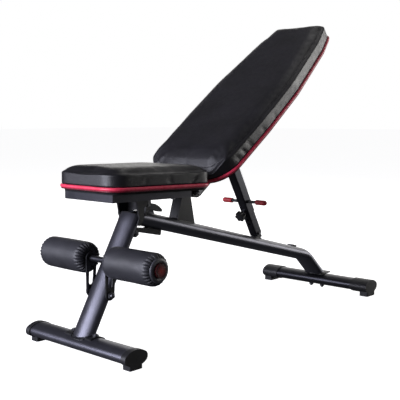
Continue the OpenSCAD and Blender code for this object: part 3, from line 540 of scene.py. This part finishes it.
    def run(self):
        """Distance round the outline to each of its points, and its whole length last."""
        steps = np.linalg.norm(np.roll(self.outline, -1, 0) - self.outline, axis=1)
        return np.concatenate([[0], np.cumsum(steps)])

    def place_of(self, across, along):
        """Distance round the outline to its point nearest to a place."""
        far = np.linalg.norm(self.outline - np.array([across, along]), axis=1)
        return float(self.run()[int(far.argmin())])

    def finish(self, skin, fill):
        skin.data.materials.clear()
        skin.data.materials.append(PAD)
        skin.data.polygons.foreach_set("use_smooth", [True] * len(skin.data.polygons))
        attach(skin, self.body)
        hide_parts(self.pad_node)

    def welt(self):
        """Round piping and the thinner second row below it, the row in a darker copy of the crimson as painted
        shade under the piping.
        """
        middle = (self.band_low + self.band_high) / 2
        # the second row takes the darker crimson: painted shade under the piping
        rows = (("piping", 4.5 * mm, 2.6 * mm, middle + 1.0 * mm, PIPING),
                ("piping_edge", 1.8 * mm, 2.4 * mm, middle - 4.6 * mm, SHADED_WELT))
        for name, radius, inset, height, look in rows:
            points, faces = sweep(self.ring(inset, height), lambda i, n: circle_section(radius, 14))
            cord = new_piece(f"{self.name}_{name}", points, faces, look, self.body)
            if name == "piping":
                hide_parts(self.piping_node)

    def top_seam(self, skin, height, inset, radius):
        """A thin sewn edge that follows the skin's upper corner."""
        far_out = 60 * mm
        tree = BVHTree.FromObject(skin, bpy.context.evaluated_depsgraph_get())
        path = []
        for place, out, up in self.ring(inset, height):
            aim = (out + up).normalized()
            hit = tree.ray_cast(place + aim * far_out, -aim, 2 * far_out)[0]
            path.append((hit, out, up))
        places = np.array([p[0] for p in path])
        for _ in range(6):
            places = (np.roll(places, 1, 0) + 2 * places + np.roll(places, -1, 0)) / 4
        path = [(Vector(place), out, up) for place, (_, out, up) in zip(places, path)]
        points, faces = sweep(path, lambda i, n: circle_section(radius, 8))
        new_piece(f"{self.name}_edge_seam", points, faces, PAD, self.body)


def backrest():
    pad = Cushion("back_cushion", "back_pad", "back_board", "back_piping", "backrest",
                  joints["back_tilt"]["pos_m"])
    skin = pad.blow_up(5 * mm, 2 * mm, 5 * mm, 3.0, 3 * mm)
    pad.square_wall(skin, 2.5 * mm, 46 * mm)
    folds = []
    # place along the backrest in metres, height and half width in mm, slant, depth in mm
    creases = ((0.105, 14, 9, -0.5, 2.2), (0.135, 12, 7, -0.5, 2.6), (0.165, 15, 10, -0.4, 2.0),
               (0.235, 10, 9, -0.3, 1.6), (0.30, 9, 8, -0.3, 1.2), (0.42, 9, 10, 0.3, 0.8),
               (0.60, 9, 10, 0.3, 0.6))
    for along, height, half_width, slant, depth in creases:
        for side in (-1, 1):
            at = pad.place_of(side * 0.15, along + 0.012 * (side < 0))
            folds.append((at, height * mm, half_width * mm, 12 * mm, side * slant, depth * mm))
    pad.pucker(skin, folds)
    pad.finish(skin, 0.75)
    pad.welt()
    pad.top_seam(skin, pad.base + 48 * mm, 10 * mm, 1.1 * mm)


def seat():
    pad = Cushion("seat_cushion", "seat_pad", "seat_board", "seat_piping", "seat",
                  joints["seat_tilt"]["pos_m"])
    skin = pad.blow_up(5 * mm, 2 * mm, 5 * mm, 3.0, 6 * mm)
    pad.square_wall(skin, 2.0 * mm, 42 * mm)
    folds = []
    # place along the seat in metres, half width in mm, slant, depth in mm
    creases = ((-0.09, 7, 0.9, 2.4), (-0.17, 9, -0.4, 1.0), (-0.25, 8, 0.4, 0.9))
    for along, half_width, slant, depth in creases:
        for side in (-1, 1):
            at = pad.place_of(side * 0.13, along)
            folds.append((at, 11 * mm, half_width * mm, 11 * mm, side * slant, depth * mm))
    pad.pucker(skin, folds)
    pad.finish(skin, 0.8)
    pad.welt()


# ---------------------------------------------------------------- rollers

def half_height(node):
    low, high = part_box(node)
    return (high.z - low.z) / 2


def roller(side, label):
    """Vinyl cover over foam, pleated at both ends, with a padded ring round the cap."""
    node = f"foam_roller_{label}"
    low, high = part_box(node)
    centre = Vector(joints[f"roller_{label}_spin"]["pos_m"])
    start = min(abs(low.x), abs(high.x))
    length = high.x - low.x
    big = half_height(node)
    hub = half_height(f"roller_core_{label}")
    cap = half_height(f"roller_cap_{label}")
    shoulder = 19 * mm
    pleats, pleat_depth, pleat_length = 26, 7.0 * mm, 17 * mm
    inner = [(start + 5 * mm, hub + 0.4 * mm), (start + 1.5 * mm, hub + 3 * mm)]
    inner += [(start + 0.3 * mm, r) for r in np.linspace(hub + 5 * mm, big - shoulder, 5)]
    inner += arc(start + shoulder, big - shoulder, shoulder, 172, 90, 12)
    straight = shoulder + 6 * mm
    body = [(x, big) for x in np.linspace(start + straight, start + length - straight, 14)]
    outer = arc(start + length - shoulder, big - shoulder, shoulder, 90, 20, 12)
    groove = [(start + length - 3.5 * mm, cap + 5 * mm), (start + length - 5 * mm, cap + 1.5 * mm),
              (start + length - 5 * mm, hub + 0.4 * mm)]
    rng = np.random.default_rng(5 + side)
    phase = rng.uniform(0, 6.28, 4)
    depth_change = rng.uniform(0.7, 1.3, pleats)

    def ripple(x, radius, angle):
        near_end = max(0, 1 - (x - start) / pleat_length, 1 - (start + length - x) / pleat_length)
        turn = angle / (2 * math.pi) * pleats
        wave = abs(math.sin(math.pi * turn)) ** 0.6 - 0.6
        fade = near_end ** 1.2 * min(1, max(0, (radius - hub - 2 * mm) / (10 * mm)))
        depth = pleat_depth * depth_change[int(turn) % pleats]
        sag = 0.35 * mm * math.sin(2 * angle + phase[0]) * math.sin(40 * x + phase[1])
        dents = 0.25 * mm * math.sin(5 * angle + phase[2]) * math.sin(95 * x + phase[3])
        rise = min(1, max(0, (radius - 0.8 * big) / (0.2 * big)))
        inward = 1 if x < start + length / 2 else -1
        new_x = x - depth * wave * fade * 0.4 * inward
        new_radius = radius + depth * wave * fade * 0.8 + (sag + dents) * rise
        return new_x, new_radius

    profile = inner + body + outer + groove
    cover = revolve(f"roller_cover_{label}", centre, side, profile[::-1], ROLLER, f"roller_{label}",
                    sides=pleats * 10, ripple=ripple)
    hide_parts(node)
    ring_radius = (cap + 29 * mm) / 2 - 2 * mm
    ring_x = start + length + 0.5 * mm
    half_thick, half_wide = 4.2 * mm, 6.5 * mm
    ring_profile = [(ring_x + half_thick * math.sin(t), ring_radius + half_wide * math.cos(t))
                    for t in np.linspace(0, 2 * math.pi, 20, endpoint=False)]
    revolve(f"roller_ring_{label}", centre, side, ring_profile, RING, f"roller_{label}")


# ---------------------------------------------------------------- small steel detail

def spring():
    """Coiled return spring on the seat lever's pin."""
    low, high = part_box("lever_spring")
    centre = (low + high) / 2
    outer = (high.z - low.z) / 2
    wire, turns, steps = 0.8 * mm, 6, 150
    path = []
    for i in range(steps):
        t = i / (steps - 1)
        angle = 2 * math.pi * turns * t
        out = Vector((0, math.cos(angle), math.sin(angle)))
        place = Vector((low.x + wire + (high.x - low.x - 2 * wire) * t, centre.y, centre.z))
        path.append((place + out * (outer - wire), out, Vector((1, 0, 0))))
    points, faces = sweep(path, lambda i, n: circle_section(wire, 8), closed=False)
    coil = new_piece("lever_coil", points, faces, BOLT, "frame")
    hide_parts("lever_spring")


def weld_bead(name, body, places, radius, seed):
    """A rippled weld along a closed line of (place, out, up)."""
    rng = np.random.default_rng(seed)
    ripple = 1 + 0.16 * np.sin(np.arange(len(places)) * 2.1) + 0.08 * rng.standard_normal(len(places))
    points, faces = sweep(places, lambda i, n: circle_section(radius * ripple[i], 8))
    new_piece(name, points, faces, BRACKET, body)


def outline_of(node, keep=None):
    """Convex outline seen from above of a CAD node, or of the part of it that keep accepts."""
    points = points_of(nodes[node].data)
    if keep is not None:
        points = points[keep(points)]
    return hull_outline(points[:, :2], step=3 * mm)


def weld_below(name, body, outline, outward, onto, height, radius, seed):
    """A weld where an outline seen from above meets the top of another node."""
    tree = BVHTree.FromObject(nodes[onto], bpy.context.evaluated_depsgraph_get())
    path = []
    for (x, y), (a, b) in zip(outline, outward):
        hit = tree.ray_cast(Vector((x, y, height)), Vector((0, 0, -1)))[0]
        if hit is not None:
            path.append((hit, Vector((a, b, 0)), Vector((0, 0, 1))))
    weld_bead(name, body, path, radius, seed)


def tube_axis(node):
    """A point on a straight tube's middle line, the direction up along it and the direction behind it."""
    points = points_of(nodes[node].data)
    axis = np.linalg.svd(points - points.mean(0), full_matrices=False)[2][0]
    axis = Vector(axis if axis[2] > 0 else -axis)
    behind = axis.cross(Vector((1, 0, 0))).normalized()
    depth = points @ np.array(behind)
    middle = behind * ((depth.min() + depth.max()) / 2) + axis * float((points @ np.array(axis)).mean())
    return middle, axis, behind


def leg_weld():
    """The weld round the leg's foot, on its saddle and the foot tube."""
    middle, axis, behind = tube_axis("front_leg")
    graph = bpy.context.evaluated_depsgraph_get()
    trees = [BVHTree.FromObject(nodes[node], graph) for node in ("front_saddle", "front_foot_tube")]
    low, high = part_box("leg_top_cap")
    half_x = (high.x - low.x) / 2
    # the leg's tube is 0.58 as deep as it is wide
    half_y = half_x * 0.58
    steps = 110
    path = []
    for k in range(steps):
        t = 2 * math.pi * k / steps
        c, s = math.cos(t), math.sin(t)
        square = (abs(c) ** 3 + abs(s) ** 3) ** (1 / 3)
        out = Vector((1, 0, 0)) * (c / square * half_x) + behind * (s / square * half_y)
        hits = [tree.ray_cast(middle + out, -axis) for tree in trees]
        hits = [hit for hit in hits if hit[0] is not None]
        if hits:
            nearest = min(hits, key=lambda hit: hit[3])
            path.append((nearest[0], out.normalized(), axis))
    weld_bead("leg_weld", "leg", path, 2.0 * mm, 3)


def welds():
    leg_weld()
    flange_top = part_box("rear_flange")[1].z
    outline, outward = outline_of("main_beam", lambda p: p[:, 2] < flange_top + 2 * mm)
    path = [(Vector((x, y, flange_top + 0.6 * mm)), Vector((a, b, 0)), Vector((0, 0, 1)))
            for (x, y), (a, b) in zip(outline, outward)]
    weld_bead("tail_weld", "frame", path, 2.0 * mm, 4)
    for name, node, seed in (("post_weld", "pivot_post", 5), ("bracket_weld", "strut_foot_bracket", 6)):
        outline, outward = outline_of(node)
        weld_below(name, "frame", outline, outward, "main_beam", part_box(node)[1].z + 0.2, 1.7 * mm, seed)


# ---------------------------------------------------------------- studio

def soft_box(name, place, aim, width, height, power, colour):
    """A lamp of a size in metres and a power in watts that the camera doesn't see."""
    light = bpy.data.lights.new(name, "AREA")
    light.shape = "RECTANGLE"
    light.size, light.size_y = width, height
    light.energy = power
    light.color = colour
    lamp = bpy.data.objects.new(name, light)
    scene.collection.objects.link(lamp)
    lamp.location = place
    lamp.rotation_euler = (Vector(aim) - Vector(place)).to_track_quat("-Z", "Y").to_euler()
    lamp.visible_camera = False


def studio():
    """White to the camera, a faint fill on the bench, a glowing floor and four soft boxes."""
    fill_strength, floor_glow = 0.07, 0.92
    world = bpy.data.worlds.new("studio")
    scene.world = world
    world.use_nodes = True
    tree = world.node_tree
    seen = tree.nodes["Background"]
    seen.inputs["Color"].default_value = (1, 1, 1, 1)
    seen.inputs["Strength"].default_value = 1.0
    fill = tree.nodes.new("ShaderNodeBackground")
    fill.inputs["Color"].default_value = (0.9, 0.9, 1.0, 1)
    fill.inputs["Strength"].default_value = fill_strength
    rays = tree.nodes.new("ShaderNodeLightPath")
    mix = tree.nodes.new("ShaderNodeMixShader")
    tree.links.new(rays.outputs["Is Camera Ray"], mix.inputs["Fac"])
    tree.links.new(fill.outputs[0], mix.inputs[1])
    tree.links.new(seen.outputs[0], mix.inputs[2])
    tree.links.new(mix.outputs[0], tree.nodes["World Output"].inputs["Surface"])

    look = Look("pale_floor")
    tone = look.blend(look.noise(3, 3), (0.78, 0.78, 0.78), (0.82, 0.82, 0.82))
    floor_shine = look.finish(Base_Color=tone, Roughness=0.8, Specular_IOR_Level=0.1,
                              Emission_Color=(1, 1, 1, 1), Emission_Strength=floor_glow)
    half = 40
    mesh = bpy.data.meshes.new("floor")
    corners = [(-half, -half, 0), (half, -half, 0), (half, half, 0), (-half, half, 0)]
    mesh.from_pydata(corners, [], [(0, 1, 2, 3)])
    mesh.materials.append(floor_shine)
    floor = bpy.data.objects.new("floor", mesh)
    scene.collection.objects.link(floor)
    floor.visible_diffuse = False
    floor.visible_glossy = False

    lavender, white = (0.85, 0.86, 1.0), (1.0, 0.985, 0.96)
    soft_box("front_box", (-0.9, -3.3, 1.0), (0, -0.2, 0.4), 2.6, 1.9, 190, lavender)
    soft_box("back_left_box", (-2.1, 3.1, 1.4), (0, -0.1, 0.45), 3.4, 2.6, 36, white)
    soft_box("back_right_box", (1.4, 3.5, 1.0), (0, 0.2, 0.5), 2.6, 2.2, 70, white)
    soft_box("top_strip", (0.2, 1.2, 3.0), (0, 0.3, 0.3), 3.0, 0.8, 8, white)
    scene.view_settings.view_transform = "Standard"


def camera():
    """The photo's view: from the front right, a little above the seat, looking slightly down."""
    place = (1.46901, -1.70430, 0.57935)
    down, turn = 5.98, 42.27
    lens = bpy.data.cameras.new("camera")
    lens.sensor_width = 36
    lens.lens = 69.1
    eye = bpy.data.objects.new("camera", lens)
    scene.collection.objects.link(eye)
    eye.location = place
    eye.rotation_euler = (math.radians(90 - down), 0, math.radians(turn))
    scene.camera = eye


dress_cad_nodes()
backrest()
seat()
roller(1, "right")
roller(-1, "left")
spring()
welds()
studio()
camera()
